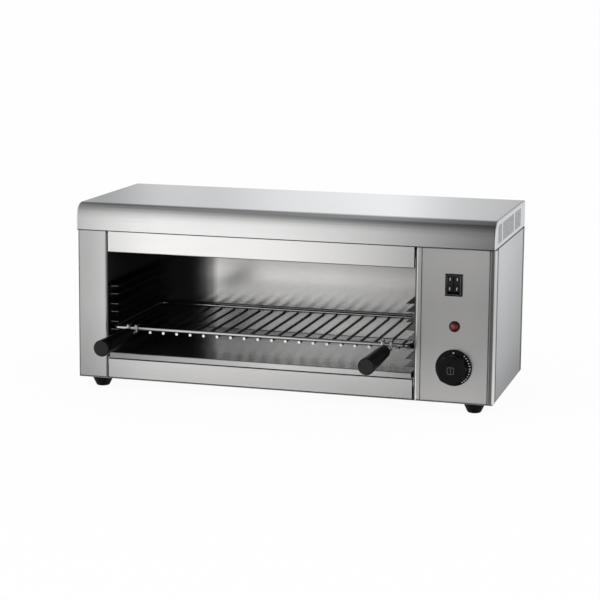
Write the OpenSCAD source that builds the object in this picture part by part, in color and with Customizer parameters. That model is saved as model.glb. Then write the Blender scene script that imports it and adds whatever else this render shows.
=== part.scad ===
// Countertop cheese melter: folded stainless cabinet, open-fronted grill chamber with a wire
// shelf on runners, crumb tray, and a control compartment on the right.
// Modules are drawn with Y = 0 on the front plane of the cabinet and Y growing to the back.

/* [Cabinet] */
// Width over the side panels
body_w = 600; // [480:5:760]
// Depth from the front plane to the back
body_d = 236; // [196:2:320]
// Height of the cabinet with its cover, without the feet
body_h = 251.6; // [230:0.1:310]
// Thickness of the folded outer sheets
sheet = 1; // [0.8:0.1:1.2]
// Outside radius of the ordinary folds
fold_r = 1.5; // [1.3:0.1:3]
// Width of the turned-in fixing flanges
flange_w = 12; // [10:1:15]

/* [Cover] */
// Height of the lift-off cover
cover_h = 38.3; // [34:0.1:50]
// How far the bullnose stands proud of the front plane
nose_bulge = 7.5; // [5:0.5:12]
// Radius where the top rolls into the nose
nose_top_r = 18; // [12:1:22]
// Radius of the shallow curve down the nose
nose_face_r = 60; // [50:1:90]
// Angle through which the top radius turns
nose_sweep = 75; // [70:1:80]
// Radius of the rounded rim of each end cap
cap_rim_r = 2; // [1.5:0.1:3]
// Width of one vent slot
vent_slot_w = 2.5; // [2:0.5:3.5]
// Height of one vent slot
vent_slot_h = 26; // [14:1:28]
// Distance between vent slots
vent_pitch = 5.6; // [5:0.1:6]
// First vent slot behind the front plane
vent_front = 15.5; // [14:0.5:24]
// Plain metal between two groups of slots
vent_group_gap = 8; // [6:1:18]

/* [Front] */
// Width of the plain stile left of the opening
stile_w = 42.5; // [30:0.5:60]
// Width of the control panel right of the opening
control_w = 109; // [95:1:130]
// Outside radius of the control panel's bend beside the opening
panel_bend_r = 3; // [2:0.5:9]
// Outside radius of the control panel's bend at the cabinet's corner
corner_bend_r = 6.5; // [2:0.5:9]
// Distance of the pressed crease lines from the control panel's edges
crease_inset = 8; // [7:0.5:12]
// Gap between a rail's end and the upright beside it
rail_gap = 2.8; // [2:0.2:4]
// Height of the rail above the opening
top_rail_h = 30.6; // [22:0.2:36]
// Height of the rail below the opening, with its fixing edge
bottom_rail_h = 28.7; // [24:0.1:36]
// Depth to which the control panel folds round the right side
panel_return = 15.5; // [12:0.5:20]

/* [Chamber] */
// Depth of the grill chamber behind the front plane
chamber_d = 218; // [180:1:218]
// Height of the element above the opening's top edge
element_rise = 11; // [8:0.5:13]
// Diameter of an element tube
element_d = 8; // [6.5:0.5:8.5]
// Distance between the two runs of one element
element_run_gap = 44; // [30:1:48]
// Radial clearance round an element tube
element_clear = 0.2; // [0.1:0.05:0.3]

/* [Runners] */
// Number of runner levels
runner_levels = 4; // [3:1:4]
// Height from one runner level to the next
runner_pitch = 25.6; // [20:0.2:27]
// Height of one runner channel
runner_h = 12; // [10:0.5:14]
// How far a runner stands out from the wall
runner_w = 13.5; // [11:0.5:16]
// Thickness of the runner sheet
runner_t = 0.8; // [0.6:0.1:1]
// Underside of the lowest runner above the chamber floor
runner_base = 13.5; // [13:0.1:20]

/* [Shelf] */
// Level the shelf is set at, counted from below
shelf_level = 2; // [2:1:3]
// Diameter of the rim wire
rim_d = 5; // [4:0.5:6]
// Radius of the rim wire's corners, to its centre
rim_corner_r = 12; // [8:1:16]
// Diameter of the front-to-back rods
rod_d = 4; // [3:0.5:5]
// Distance between rods
rod_pitch = 20; // [16:1:26]
// Side clearance between the rim wire and a runner's web
shelf_side_gap = 3.2; // [2:0.2:5]
// Sideways offset of the shelf between its runners
shelf_shift = -1.5; // [-1.5:0.5:1.5]
// Front rim wire behind the front plane
shelf_front = 9; // [7:0.5:14]
// Clearance under pieces that slide
run_gap = 0.25; // [0.15:0.05:0.4]

/* [Handles] */
// Length of a grip
grip_len = 102; // [90:0.5:140]
// Distance from a grip's rear end to the front plane
grip_back = 13; // [4:0.5:20]
// Diameter at a grip's front end
grip_front_d = 23; // [20:0.5:26]
// Diameter at a grip's rear end
grip_rear_d = 18.5; // [18:0.5:22]
// Distance of a grip's axis from the rim wire's side
grip_inset = 31; // [22:0.2:60]
// How far the grips hang below the rim wire's centre
grip_drop = 5; // [4:0.5:8]
// Diameter of a handle wire
leg_d = 4; // [3:0.5:4.5]
// Distance between the two legs of a handle wire
leg_gap = 12; // [10:0.5:12]

/* [Crumb tray] */
// Height of the tray's front lip
lip_h = 7.8; // [6:0.2:10]
// Thickness of the tray sheet
tray_t = 0.8; // [0.6:0.1:1]
// Side clearance of the tray in the chamber
tray_side_gap = 3.5; // [2:0.5:6]

/* [Controls] */
// Sideways offset of the controls from the panel's middle
control_shift = 0; // [-6:0.5:6]
// Further sideways offset of the switch
switch_shift = -2; // [-4:0.5:4]
// Height of the switch's middle above the cabinet's underside
switch_rise = 163.2; // [148:0.1:170]
// Width of the switch bezel
switch_w = 23.3; // [23:0.1:28]
// Height of the switch bezel
switch_h = 30.2; // [30:0.1:34]
// Thickness of the switch bezel
bezel_t = 2; // [1.5:0.1:2.5]
// Angle between a rocker's two positions
rocker_swing = 24; // [18:1:26]
// Height of the pilot lamp above the cabinet's underside
lamp_rise = 106.5; // [100:0.5:118]
// Diameter of the lamp bezel
lamp_d = 15; // [13:0.5:18]
// Height of the knob above the cabinet's underside
knob_rise = 49.6; // [46:0.1:58]
// Diameter of the fixed dial ring behind the knob
dial_d = 50; // [48:1:56]
// Diameter over the knob's lobes
knob_d = 40; // [36:1:44]
// Number of lobes round the knob
knob_lobes = 8; // [6:1:12]
// How far the knob stands out from the panel
knob_reach = 22.5; // [18:0.5:26]
// Diameter of the timer spindle
spindle_d = 6; // [5:0.5:6]

/* [Feet and inlet] */
// Height of a foot
foot_h = 14.5; // [11:0.5:20]
// Diameter of a foot where it meets the cabinet
foot_top_d = 31; // [24:0.5:34]
// Diameter of a foot on the worktop
foot_bottom_d = 19.5; // [18:0.5:26]
// Distance of a foot's middle from the side
foot_inset_x = 28.5; // [20:0.5:32]
// Distance of a foot's middle from the front and from the back
foot_inset_y = 20; // [19:0.5:32]
// Bore of the cable gland
cable_d = 8; // [6:0.5:9]
// How far the cable gland stands out at the back
gland_reach = 19; // [15:1:25]

/* [Hidden] */
$fn = 64;

// A cut runs this far past the faces it opens
cut = 1;
// Welded and pressed-together round pieces are drawn this far apart
weld_gap = 0.02;
// Radial clearance of pins and spindles that turn
turn_gap = 0.05;

// Finishes
STEEL = [0.78, 0.78, 0.77];
POLISHED = [0.62, 0.62, 0.61];
CHROME = [0.85, 0.85, 0.86];
BLACK = [0.06, 0.06, 0.07];
RUBBER = [0.09, 0.09, 0.09];
LENS = [0.55, 0.12, 0.10];
ZINC = [0.70, 0.71, 0.73];
CREAM = [0.86, 0.84, 0.78];

// Cabinet planes
half_w = body_w / 2;
z_bottom = foot_h;
z_frame = z_bottom + sheet;
z_top = z_bottom + body_h;
z_seam = z_top - cover_h;
x_stile = -half_w + stile_w;
x_panel = half_w - control_w;
handle_out = grip_len + grip_back;
front_y = (handle_out - body_d - gland_reach) / 2;

// Chamber planes: the walls stand against the returns of the stile and of the control panel
x_wall_left = x_stile + sheet;
x_wall_right = x_panel - sheet;
chamber_w = x_wall_right - x_wall_left;
chamber_x = (x_wall_left + x_wall_right) / 2;
z_opening = z_seam - top_rail_h;
z_floor = z_frame + bottom_rail_h + sheet;
z_reflector = z_seam - 4 * sheet - 0.5;
wall_front = 2 * sheet;
rail_x0 = x_stile + rail_gap;
rail_x1 = x_panel - rail_gap;
ear_w = 16;
crease_d = 0.8;
ear_d = 6;
return_seam = 2;
side_flange_y0 = panel_return + return_seam;
side_flange_y1 = body_d - sheet - flange_w - 1;

// Nose arcs share the centres below at every inset
nose_a = [
  nose_face_r - nose_bulge - (nose_face_r - nose_top_r) * sin(nose_sweep),
  z_top - nose_top_r
];
nose_b = nose_a + (nose_face_r - nose_top_r) * [sin(nose_sweep), -cos(nose_sweep)];
hem_z = z_seam + fold_r;
hem_reach = nose_face_r - fold_r;
nose_c = [nose_b[0] - sqrt(pow(hem_reach, 2) - pow(hem_z - nose_b[1], 2)), hem_z];
cover_back_c = [body_d - fold_r, z_top - fold_r];
x_cap = half_w - cap_rim_r;

// Vent slots in three groups
vent_rear = 20;
vent_rear_start = vent_front + 21 * vent_pitch + 2 * vent_group_gap;
vent_rear_room = floor((body_d - vent_rear - vent_rear_start) / vent_pitch) + 1;
vent_groups = [5, 16, max(1, min(9, vent_rear_room))];
function slots_before(group) = group == 0 ? 0 : vent_groups[group - 1] + slots_before(group - 1);
function vent_y(group, slot) = vent_front + slots_before(group) * vent_pitch
  + group * vent_group_gap + slot * vent_pitch;

// Elements
element_z = z_opening + element_rise;
element_end_x = x_wall_right + 22;
element_turn_x = x_wall_left + 30;
element_front_y = 44;
element_rear_y = chamber_d - element_front_y - element_run_gap;
element_hole_d = element_d + 2 * element_clear;
element_stud_d = 3;
element_stud_len = 9;
hanger_inset = 90;

// Shelf
runner_y0 = 9;
runner_y1 = chamber_d - 5;
function runner_z(level) = z_floor + runner_base + (level - 1) * runner_pitch;
rim_z = runner_z(shelf_level) + runner_t + run_gap + rim_d / 2;
shelf_x = chamber_x + shelf_shift;
rim_half_w = chamber_w / 2 - runner_t - shelf_side_gap - rim_d / 2;
rim_y0 = shelf_front;
rim_y1 = chamber_d - 8;
rod_z = rim_z - rim_d / 2 - rod_d / 2 - weld_gap;
rod_side = floor((rim_half_w - runner_w + rim_d) / rod_pitch);
grip_z = rim_z - grip_drop;
grip_insert = 55;
hook_len = 10;

// Tray
tray_z = z_floor + run_gap;
tray_half_w = chamber_w / 2 - tray_side_gap;
tray_wall_h = 7;
tray_y1 = chamber_d - 4;

// Controls
control_x = (x_panel + half_w) / 2 + control_shift;
switch_x = control_x + switch_shift;
switch_z = z_bottom + switch_rise;
lamp_z = z_bottom + lamp_rise;
knob_z = z_bottom + knob_rise;
switch_cut = [switch_w - 3, switch_h - 3];
switch_body_d = 24;
pivot_y = 3.6;
rocker_vertex = 6;
rocker_half = 10.3;
rocker_w = 8.4;
rocker_gap = 0.2;
divider_w = 1;
rocker_x = (divider_w + rocker_w) / 2 + rocker_gap;
rocker_tip = [
  -rocker_vertex - rocker_half * sin(rocker_swing / 2),
  rocker_half * cos(rocker_swing / 2)
];
window_half_h = norm(rocker_tip) - 0.3;
pin_d = 2.4;
pin_len = 0.6;
lamp_barrel_d = 9.8;
lamp_hole_d = 10;
timer_box = [44, 28, 44];
timer_boss_d = 9.5;
timer_screw_gap = 28;
timer_screw_d = 3.9;
screw_clear = 0.15;
dial_t = 4.2;
dial_wall = 1.6;
knob_gap = 0.4;
knob_wall = 2.5;

// Inlet
gland_x = control_x;
gland_z = z_frame + 34;
gland_thread_d = 15.8;
gland_hole_d = 16;
foot_screw_d = 5;
foot_hole_d = 5.4;

// --- Helpers -------------------------------------------------------------------------------

// Draws in cabinet coordinates and moves the result to the part's own origin
module placed() translate([0, front_y, 0]) children();

// Extrudes a shape drawn in Y and Z from x0 to x1
module along_x(x0, x1) translate([x0, 0, 0]) rotate([90, 0, 90]) linear_extrude(x1 - x0) children();

// Extrudes a shape drawn in X and Z from y0 to y1
module along_y(y0, y1) translate([0, y1, 0]) rotate([90, 0, 0]) linear_extrude(y1 - y0) children();

// Extrudes a shape drawn in X and Y from z0 to z1
module along_z(z0, z1) translate([0, 0, z0]) linear_extrude(z1 - z0) children();

// A box given by its low and high corners
module block(low, high) translate(low) cube(high - low);

// A round bar or bore along Y
module bar_y(x, z, d, y0, y1) translate([x, y0, z]) rotate([-90, 0, 0]) cylinder(h = y1 - y0, d = d);

// A round bar or bore along X
module bar_x(y, z, d, x0, x1) translate([x0, y, z]) rotate([0, 90, 0]) cylinder(h = x1 - x0, d = d);

function unit(v) = v / norm(v);
function left_of(v) = [-v[1], v[0]];
function turn_side(a, b) = sign(a[0] * b[1] - a[1] * b[0]);

// Folded sheet seen end-on. The path is the face line, the metal lies on its left, and each
// corner is a true round fold whose face radius is given in radii.
module folded(path, radii, t = sheet) {
  last = len(path) - 1;
  dirs = [for (i = [0:last - 1]) unit(path[i + 1] - path[i])];
  half = [for (i = [1:last - 1]) acos(dirs[i - 1] * dirs[i]) / 2];
  trim = concat([0], [for (i = [0:last - 2]) radii[i] * tan(half[i])], [0]);
  for (i = [0:last - 1]) {
    a = path[i] + dirs[i] * trim[i];
    b = path[i + 1] - dirs[i] * trim[i + 1];
    side = left_of(dirs[i]) * t;
    if (norm(b - a) > weld_gap) polygon([a, b, b + side, a + side]);
  }
  for (i = [1:last - 1]) {
    r = radii[i - 1];
    turn = turn_side(dirs[i - 1], dirs[i]);
    centre = path[i] - dirs[i - 1] * trim[i] + left_of(dirs[i - 1]) * turn * r;
    reach = 2 * (r + abs(t));
    wedge = [
      centre,
      centre + unit(path[i] - dirs[i - 1] * trim[i] - centre) * reach,
      centre + unit(path[i] - centre) * reach / cos(half[i - 1]),
      centre + unit(path[i] + dirs[i] * trim[i] - centre) * reach
    ];
    intersection() {
      translate(centre) difference() {
        circle(r = max(r, r - turn * t));
        circle(r = min(r, r - turn * t));
      }
      polygon(wedge);
    }
  }
}

// Clears the top and bottom edge of an upright sheet where a folded flange takes its place
module fold_relief(x0, x1, y0, y1)
  for (z = [z_frame - cut, z_seam - fold_r])
    block([x0, y0, z], [x1, y1, z + fold_r + cut]);

// Front sheet with a flange turned back at its top and bottom
module front_folds(x0, x1)
  along_x(x0, x1) folded(
    [[flange_w, z_seam], [0, z_seam], [0, z_frame], [flange_w, z_frame]], [fold_r, fold_r]);

// Round wire through a list of points, with ball corners
module wire(points, d) {
  for (i = [0:len(points) - 2]) {
    run = points[i + 1] - points[i];
    translate(points[i])
      rotate([0, acos(run[2] / norm(run)), atan2(run[1], run[0])])
        cylinder(h = norm(run), d = d);
  }
  for (i = [1:len(points) - 2]) translate(points[i]) sphere(d = d);
}

// Slot with round ends, upright, cut along X
module slot_x(y, z, w, h, x0, x1) {
  for (end = [-1, 1]) bar_x(y, z + end * (h - w) / 2, w, x0, x1);
  block([x0, y - w / 2, z - (h - w) / 2], [x1, y + w / 2, z + (h - w) / 2]);
}

// --- Cover ---------------------------------------------------------------------------------

// Round corners of the cover's outline: centre, radius, and the wedge that the corner fills
reach_out = 100;
cover_corners = [
  [nose_a, nose_top_r, [
    nose_a,
    nose_a + [0, reach_out],
    nose_a + [-reach_out, reach_out],
    nose_a + reach_out * [-sin(nose_sweep), cos(nose_sweep)]]],
  [nose_c, fold_r, [
    nose_c,
    nose_c + reach_out * unit(nose_c - nose_b),
    nose_c + [-reach_out, -reach_out],
    nose_c + [0, -reach_out]]],
  [cover_back_c, fold_r, [
    cover_back_c,
    cover_back_c + [reach_out, 0],
    cover_back_c + [reach_out, reach_out],
    cover_back_c + [0, reach_out]]]
];

// Side view of the cover, moved inwards by inset
module cover_outline(inset) {
  difference() {
    intersection() {
      translate([-2 * nose_bulge, z_seam + inset])
        square([body_d - inset + 2 * nose_bulge, cover_h - 2 * inset]);
      union() {
        translate(nose_b) circle(r = nose_face_r - inset, $fn = 128);
        translate([nose_b[0], z_seam]) square([body_d, cover_h]);
      }
    }
    for (corner = cover_corners) polygon(corner[2]);
  }
  for (corner = cover_corners)
    if (corner[1] > inset)
      intersection() {
        translate(corner[0]) circle(r = corner[1] - inset);
        polygon(corner[2]);
      }
}

module cover_shell() color(STEEL) placed()
  along_x(-x_cap, x_cap) difference() {
    cover_outline(0);
    cover_outline(sheet);
    translate([flange_w, z_seam - cut]) square([body_d - sheet - 2 * flange_w, sheet + 2 * cut]);
  }

// End cap with a rounded rim and a hollow back, drawn for the right end
rim_steps = 4;
module cover_end() {
  difference() {
    hull() for (step = [0:rim_steps]) {
      turn = step * 90 / rim_steps;
      x = x_cap + (cap_rim_r - weld_gap) * sin(turn);
      along_x(x, x + weld_gap) cover_outline(cap_rim_r * (1 - cos(turn)));
    }
    along_x(x_cap - cut, half_w - sheet) cover_outline(cap_rim_r);
    for (group = [0:len(vent_groups) - 1])
      for (slot = [0:vent_groups[group] - 1])
        slot_x(vent_y(group, slot), (z_seam + z_top) / 2, vent_slot_w, vent_slot_h,
          half_w - sheet - cut, half_w + cut);
  }
}

module cover_end_right() color(STEEL) placed() cover_end();
module cover_end_left() color(STEEL) placed() mirror([1, 0, 0]) cover_end();

// --- Outer sheets --------------------------------------------------------------------------

module bottom_plate() color(STEEL) placed() {
  edge = 0.5;
  difference() {
    block([-half_w + edge, edge, z_bottom], [half_w - edge, body_d - edge, z_frame]);
    for (spot = foot_spots)
      translate([spot[0], spot[1], z_bottom - cut]) cylinder(h = sheet + 2 * cut, d = foot_hole_d);
  }
}

module left_side_panel() color(STEEL) placed() {
  upright = [
    [-half_w + flange_w, body_d], [-half_w, body_d], [-half_w, 0], [x_stile, 0],
    [x_stile, flange_w + fold_r]
  ];
  stile_x0 = -half_w + fold_r;
  stile_x1 = x_stile - fold_r;
  difference() {
    along_z(z_frame, z_seam) folded(upright, [fold_r, fold_r, fold_r]);
    fold_relief(stile_x0, stile_x1, -cut, sheet + cut);
    fold_relief(-half_w - cut, -half_w + sheet + cut, side_flange_y0, side_flange_y1);
    back_screw_holes();
  }
  front_folds(stile_x0, stile_x1);
  side_folds();
}

// Side sheet with its top and bottom flange, drawn for the left side
module side_folds()
  along_y(side_flange_y0, side_flange_y1) folded(
    [[-half_w + flange_w, z_seam], [-half_w, z_seam], [-half_w, z_frame],
      [-half_w + flange_w, z_frame]], [fold_r, fold_r]);

module right_side_panel() color(STEEL) placed() {
  y0 = side_flange_y0;
  difference() {
    along_z(z_frame, z_seam) folded(
      [[half_w, y0], [half_w, body_d], [half_w - flange_w, body_d]], [fold_r]);
    fold_relief(half_w - sheet - cut, half_w + cut, side_flange_y0, side_flange_y1);
    back_screw_holes();
  }
  mirror([1, 0, 0]) side_folds();
  // Inner strip that the control panel's return lies on
  block([half_w - 2 * sheet, corner_bend_r + cut, z_frame + fold_r],
    [half_w - sheet, y0 + flange_w, z_seam - fold_r]);
}

module control_panel() color(STEEL) placed() {
  flat_x0 = x_panel + panel_bend_r;
  flat_x1 = half_w - corner_bend_r;
  difference() {
    union() {
      difference() {
        along_z(z_frame, z_seam) folded(
          [[x_panel, panel_bend_r + flange_w], [x_panel, 0], [half_w, 0], [half_w, panel_return]],
          [panel_bend_r, corner_bend_r]);
        fold_relief(flat_x0, flat_x1, -cut, sheet + cut);
      }
      front_folds(flat_x0, flat_x1);
    }
    for (x = [x_panel + crease_inset, half_w - crease_inset])
      translate([x, 0, z_frame]) cylinder(h = z_seam - z_frame, d = crease_d);
    block([switch_x - switch_cut[0] / 2, -cut, switch_z - switch_cut[1] / 2],
      [switch_x + switch_cut[0] / 2, sheet + cut, switch_z + switch_cut[1] / 2]);
    bar_y(control_x, lamp_z, lamp_hole_d, -cut, sheet + cut);
    bar_y(control_x, knob_z, timer_boss_d + 2 * screw_clear, -cut, sheet + cut);
    for (side = [-1, 1])
      bar_y(control_x, knob_z + side * timer_screw_gap / 2, timer_screw_d + 2 * screw_clear,
        -cut, sheet + cut);
  }
}

// Ears at the ends of a rail's hidden flange, welded to the uprights' returns
module rail_ears(z)
  for (x = [x_stile, x_panel - ear_w])
    block([x, flange_w - ear_d, z], [x + ear_w, flange_w, z + sheet]);

module top_rail() color(STEEL) placed() {
  along_x(rail_x0, rail_x1) folded(
    [[flange_w, z_seam], [0, z_seam], [0, z_opening], [flange_w, z_opening]], [fold_r, fold_r]);
  rail_ears(z_seam - sheet);
}

module bottom_rail() color(STEEL) placed() {
  z_edge = z_floor - sheet;
  along_x(rail_x0, rail_x1) folded(
    [[flange_w, z_edge], [0, z_edge], [0, z_frame], [flange_w, z_frame]], [fold_r, fold_r]);
  rail_ears(z_frame);
}

back_slot_count = 9;
back_slot_pitch = 8;
back_slot_h = 30;
back_slot_rise = 138;
module back_panel() color(STEEL) placed() {
  edge = fold_r + 0.3;
  face = body_d - sheet;
  difference() {
    along_x(-half_w + edge, half_w - edge) folded(
      [[face - flange_w, z_frame], [face, z_frame], [face, z_seam], [face - flange_w, z_seam]],
      [fold_r, fold_r]);
    back_screw_holes();
    bar_y(gland_x, gland_z, gland_hole_d, face - sheet - cut, face + cut);
    for (i = [0:back_slot_count - 1])
      rotate([0, 0, 90]) mirror([0, 1, 0])
        slot_x(control_x + (i - (back_slot_count - 1) / 2) * back_slot_pitch,
          z_bottom + back_slot_rise,
          vent_slot_w, back_slot_h, face - sheet - cut, face + cut);
  }
}

back_screw_d = 3.9;
back_screw_rise = [22, 107, 192];
module back_screw_spots()
  for (side = [-1, 1])
    for (rise = back_screw_rise)
      translate([side * (half_w - flange_w / 2 - 0.5), body_d, z_bottom + rise]) children();

module back_screw_holes()
  back_screw_spots() rotate([90, 0, 0]) translate([0, 0, -cut])
    cylinder(h = 2 * sheet + 2 * cut, d = back_screw_d + 2 * screw_clear);

// Pan head with a cross recess, its seat at z = 0 and its shank upwards
module cross_screw(head_d, head_h, d, length) {
  rim = 0.4 * head_h;
  recess_w = 0.9;
  difference() {
    union() {
      translate([0, 0, -rim]) cylinder(h = rim, d = head_d);
      translate([0, 0, -head_h]) cylinder(h = head_h - rim, d1 = 0.65 * head_d, d2 = head_d);
    }
    for (side = [0, 90])
      rotate([0, 0, side]) translate([-head_d / 4, -recess_w / 2, -head_h - cut])
        cube([head_d / 2, recess_w, 0.6 * head_h + cut]);
  }
  cylinder(h = length, d = d);
}

module back_screws() color(ZINC) placed()
  back_screw_spots() rotate([90, 0, 0]) cross_screw(7.4, 2.2, back_screw_d, 7);

// --- Grill chamber -------------------------------------------------------------------------

// Wall of the chamber, drawn for the left side with its face at x_face
module chamber_wall(x_face) {
  wall_top = z_reflector;
  difference() {
    union() {
      block([x_face - sheet, wall_front, z_frame + fold_r], [x_face, chamber_d, wall_top]);
      along_y(panel_bend_r + flange_w + 1, chamber_d) folded(
        [[x_face - flange_w, z_frame], [x_face, z_frame], [x_face, wall_top]], [fold_r]);
    }
    // Room for the nuts of the feet
    for (spot = foot_spots)
      translate([spot[0], spot[1], z_frame - cut])
        cylinder(h = nut_room[1] + cut, d = nut_room[0]);
  }
}

module chamber_wall_left() color(POLISHED) placed() chamber_wall(x_wall_left);

module chamber_wall_right() color(POLISHED) placed() difference() {
  mirror([1, 0, 0]) chamber_wall(-x_wall_right);
  for (y = element_runs)
    bar_x(y, element_z, element_hole_d, x_wall_right - cut, x_wall_right + sheet + cut);
}

module chamber_back() color(POLISHED) placed() {
  rear = chamber_d + sheet;
  along_x(x_wall_left, x_wall_right) folded(
    [[rear - flange_w, z_frame], [rear, z_frame], [rear, z_reflector]], [fold_r]);
  // Edges that lap over the rear ends of the side walls
  for (x = [x_wall_left - sheet, x_wall_right])
    block([x, chamber_d, z_frame + fold_r], [x + sheet, rear, z_reflector]);
}

module chamber_floor() color(POLISHED) placed()
  along_y(wall_front + sheet, chamber_d) folded(
    [[x_wall_right, z_floor - flange_w], [x_wall_right, z_floor], [x_wall_left, z_floor],
      [x_wall_left, z_floor - flange_w]], [fold_r, fold_r]);

module reflector() color(POLISHED) placed() {
  apron_y = wall_front + sheet;
  side = 1;
  block([x_wall_left - sheet, apron_y + fold_r, z_reflector],
    [x_wall_right + sheet, chamber_d + sheet, z_reflector + sheet]);
  along_x(x_wall_left + side, x_wall_right - side) folded(
    [[chamber_d, z_reflector + sheet], [apron_y, z_reflector + sheet],
      [apron_y, z_opening + sheet + 1.5]], [fold_r]);
}

// --- Heating elements ----------------------------------------------------------------------

element_runs = [for (y = [element_front_y, element_rear_y]) for (run = [0, element_run_gap]) y + run];

// Hairpin element whose legs pass through the right chamber wall
module element(y0) {
  collar_t = 2.5;
  collar_d = element_d + 5;
  for (y = [y0, y0 + element_run_gap]) {
    bar_x(y, element_z, element_d, element_turn_x + element_run_gap / 2, element_end_x);
    bar_x(y, element_z, element_stud_d, element_end_x, element_end_x + element_stud_len);
    difference() {
      bar_x(y, element_z, collar_d, x_wall_right + sheet, x_wall_right + sheet + collar_t);
      bar_x(y, element_z, element_d, x_wall_right, x_wall_right + sheet + collar_t + cut);
    }
  }
  translate([element_turn_x + element_run_gap / 2, y0 + element_run_gap / 2, element_z])
    rotate([0, 0, 90]) rotate_extrude(angle = 180)
      translate([element_run_gap / 2, 0]) circle(d = element_d);
}

module element_front() color(ZINC) placed() element(element_front_y);
module element_rear() color(ZINC) placed() element(element_rear_y);

// Strip that hangs from the reflector and carries all four runs
module element_hanger(x) {
  margin = 7;
  y0 = element_runs[0] - margin - element_d / 2;
  y1 = element_runs[3] + margin + element_d / 2;
  difference() {
    union() {
      block([x, y0, element_z - element_d / 2 - 2.5], [x + sheet, y1, z_reflector]);
      block([x, y0, z_reflector - sheet], [x + flange_w, y1, z_reflector]);
    }
    for (y = element_runs) bar_x(y, element_z, element_hole_d, x - cut, x + sheet + cut);
  }
}

module element_hanger_left() color(ZINC) placed() element_hanger(x_wall_left + hanger_inset);
module element_hanger_right() color(ZINC) placed() element_hanger(x_wall_right - hanger_inset);

// --- Runners -------------------------------------------------------------------------------

// Channel open to the chamber, drawn for the left wall
module runner(x_face, level) {
  z0 = runner_z(level);
  along_y(runner_y0, runner_y1) folded(
    [[x_face + runner_w, z0 + runner_h], [x_face, z0 + runner_h], [x_face, z0],
      [x_face + runner_w, z0]], [2 * runner_t, 2 * runner_t], runner_t);
}

module runner_left(level) color(POLISHED) placed() runner(x_wall_left, level);
module runner_right(level) color(POLISHED) placed() mirror([1, 0, 0]) runner(-x_wall_right, level);

// --- Crumb tray ----------------------------------------------------------------------------

module crumb_tray() color(STEEL) placed() {
  x0 = chamber_x - tray_half_w;
  x1 = chamber_x + tray_half_w;
  hem_r = 1.4;
  lip_top = z_floor + lip_h - 0.3;
  inner_y = 2 * hem_r;
  // Floor, rear wall and the front lip rolled forwards and down
  along_x(x0, x1) folded(
    [[0, z_floor - 0.3], [0, lip_top], [inner_y, lip_top], [inner_y, tray_z + tray_t],
      [tray_y1, tray_z + tray_t], [tray_y1, tray_z + tray_wall_h]],
    [hem_r, hem_r, 2 * tray_t, 2 * tray_t], -tray_t);
  // Side walls
  for (x = [x0, x1 - tray_t])
    block([x, inner_y, tray_z], [x + tray_t, tray_y1 - 2 * tray_t, tray_z + tray_wall_h]);
}

// --- Shelf ---------------------------------------------------------------------------------

module shelf_rim() color(CHROME) placed() translate([shelf_x, 0, rim_z]) {
  run_x = rim_half_w - rim_corner_r;
  y0 = rim_y0 + rim_corner_r;
  y1 = rim_y1 - rim_corner_r;
  for (y = [rim_y0, rim_y1]) bar_x(y, 0, rim_d, -run_x, run_x);
  for (x = [-rim_half_w, rim_half_w]) bar_y(x, 0, rim_d, y0, y1);
  for (corner = [[run_x, y1, 0], [-run_x, y1, 90], [-run_x, y0, 180], [run_x, y0, 270]])
    translate([corner[0], corner[1], 0]) rotate([0, 0, corner[2]])
      rotate_extrude(angle = 90) translate([rim_corner_r, 0]) circle(d = rim_d);
}

module shelf_rods() color(CHROME) placed()
  for (i = [-rod_side:rod_side])
    bar_y(shelf_x + i * rod_pitch, rod_z, rod_d, rim_y0 - 1.5, rim_y1 + 1.5);

// Two legs held in the grip, bent up in front of the rim wire and hooked over it
module handle_wire(side) {
  x = shelf_x + side * (rim_half_w - grip_inset);
  z_over = rim_z + rim_d / 2 + leg_d / 2 + weld_gap;
  rise_y = rim_y0 - rim_d / 2 - leg_d / 2 - 0.4;
  for (leg = [-1, 1]) {
    leg_x = x + leg * leg_gap / 2;
    wire([
      [leg_x, -grip_back - grip_insert, grip_z],
      [leg_x, rise_y, grip_z],
      [leg_x, rise_y, z_over],
      [leg_x, rise_y + hook_len, z_over]], leg_d);
  }
}

module handle_wire_left() color(CHROME) placed() handle_wire(-1);
module handle_wire_right() color(CHROME) placed() handle_wire(1);

module handle_grip(side) {
  x = shelf_x + side * (rim_half_w - grip_inset);
  front_r = grip_front_d / 2;
  rear_r = grip_rear_d / 2;
  edge = 1.5;
  nose_r = 2.5;
  difference() {
    translate([x, -grip_back, grip_z]) rotate([90, 0, 0]) rotate_extrude() {
      polygon([
        [0, 0], [rear_r - edge, 0], [rear_r, edge], [front_r, grip_len - nose_r],
        [front_r - nose_r, grip_len - nose_r], [front_r - nose_r, grip_len], [0, grip_len]]);
      translate([front_r - nose_r, grip_len - nose_r]) intersection() {
        circle(r = nose_r);
        square(nose_r);
      }
    }
    for (leg = [-1, 1])
      bar_y(x + leg * leg_gap / 2, grip_z, leg_d + 2 * weld_gap,
        -grip_back - grip_insert - weld_gap, cut);
  }
}

module handle_grip_left() color(BLACK) placed() handle_grip(-1);
module handle_grip_right() color(BLACK) placed() handle_grip(1);

// --- Switch --------------------------------------------------------------------------------

// Flat push-on terminal standing out at the back of a body
blade_size = [6.2, 8, 0.8];
module blade(x, y, z)
  translate([x - blade_size[0] / 2, y, z - blade_size[2] / 2]) cube(blade_size);

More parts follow.
